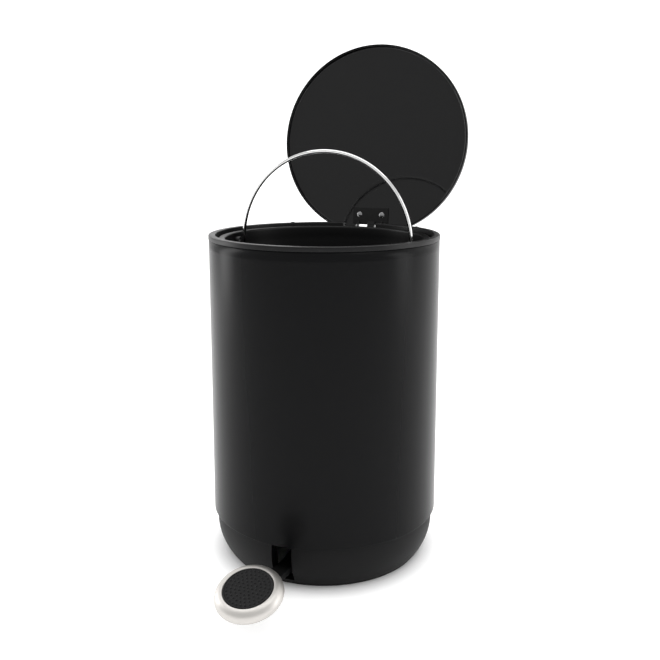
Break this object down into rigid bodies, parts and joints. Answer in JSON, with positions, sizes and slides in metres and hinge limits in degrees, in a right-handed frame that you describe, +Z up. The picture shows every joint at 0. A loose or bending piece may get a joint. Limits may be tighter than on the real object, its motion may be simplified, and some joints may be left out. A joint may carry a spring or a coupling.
{
  "type": "pedal trash can",
  "caption": "Round pedal bin: steel shell on a plastic base, lift-out bucket with wire bail, hinged lid opened by a foot pedal through a lever and push rod.",
  "frame": {"origin": "on the bin's axis at floor level, the centre of the ring it stands on", "axes": "+Z up along the shell's axis, -Y towards the pedal, +Y towards the lid hinge, +X to the right seen from the pedal side"},
  "size_m": [0.2056, 0.3444, 0.4694],
  "materials": {
    "black_plastic": "moulded, fine matt grain",
    "bucket_plastic": "moulded, satin",
    "soft_rubber": "soft",
    "pad_rubber": "dotted",
    "black_lacquer": "smooth satin lacquer",
    "lid_lacquer": "smooth satin lacquer",
    "gloss_liner": "mirror gloss",
    "black_steel": "black coated",
    "lever_black": "black coated, satin",
    "bright_steel": "bright zinc",
    "rod_steel": "drawn wire",
    "brushed_steel": "fine brushed",
    "polished_wire": "polished wire"
  },
  "bodies": {
    "bin": {"base_housing": "black_plastic", "floor_ring": "soft_rubber", "outer_shell": "black_lacquer", "rim_ring": "black_plastic", "rim_bumpers": "soft_rubber", "rod_guides": "black_plastic", "inner_bucket": "bucket_plastic", "body_hinge_bracket": "black_steel", "body_hinge_rivets": "bright_steel", "hinge_pin": "bright_steel", "hinge_pin_clips": "bright_steel", "pivot_pin": "bright_steel", "pivot_pin_clips": "bright_steel"},
    "lid": {"lid_cover": "lid_lacquer", "lid_liner": "gloss_liner", "lid_hinge_bracket": "black_steel", "lid_hinge_rivets": "bright_steel"},
    "rod": {"push_rod": "rod_steel", "rod_collars": "rod_steel", "rod_cap": "rod_steel"},
    "lever": {"pedal_lever": "lever_black", "pedal_cup": "brushed_steel", "pedal_pad": "pad_rubber", "pedal_screw": "bright_steel"},
    "bail": {"bail_handle": "polished_wire"}
  },
  "joints": [
    {"name": "lid_hinge", "type": "hinge", "parent": "bin", "child": "lid", "pos_m": [0, 0.105, 0.2705], "axis": [1, 0, 0], "range_deg": [0, 97]},
    {"name": "rod_crank", "type": "hinge", "parent": "lid", "child": "rod", "pos_m": [0, 0.09904, 0.27724], "axis": [1, 0, 0], "range_deg": [-97, 0]},
    {"name": "pedal_pivot", "type": "hinge", "parent": "bin", "child": "lever", "pos_m": [0, -0.01, 0.019], "axis": [1, 0, 0], "range_deg": [-8.64, 0]},
    {"name": "bail_fold", "type": "hinge", "parent": "bin", "child": "bail", "pos_m": [0, 0, 0.278], "axis": [1, 0, 0], "range_deg": [0, 88]}
  ],
  "couplings": [
    {"joint": "rod_crank", "follows": "lid_hinge", "ratio": -1},
    {"joint": "pedal_pivot", "follows": "lid_hinge", "ratio": -0.089057},
    {"joint": "bail_fold", "follows": "lid_hinge", "ratio": 0.90722}
  ]
}
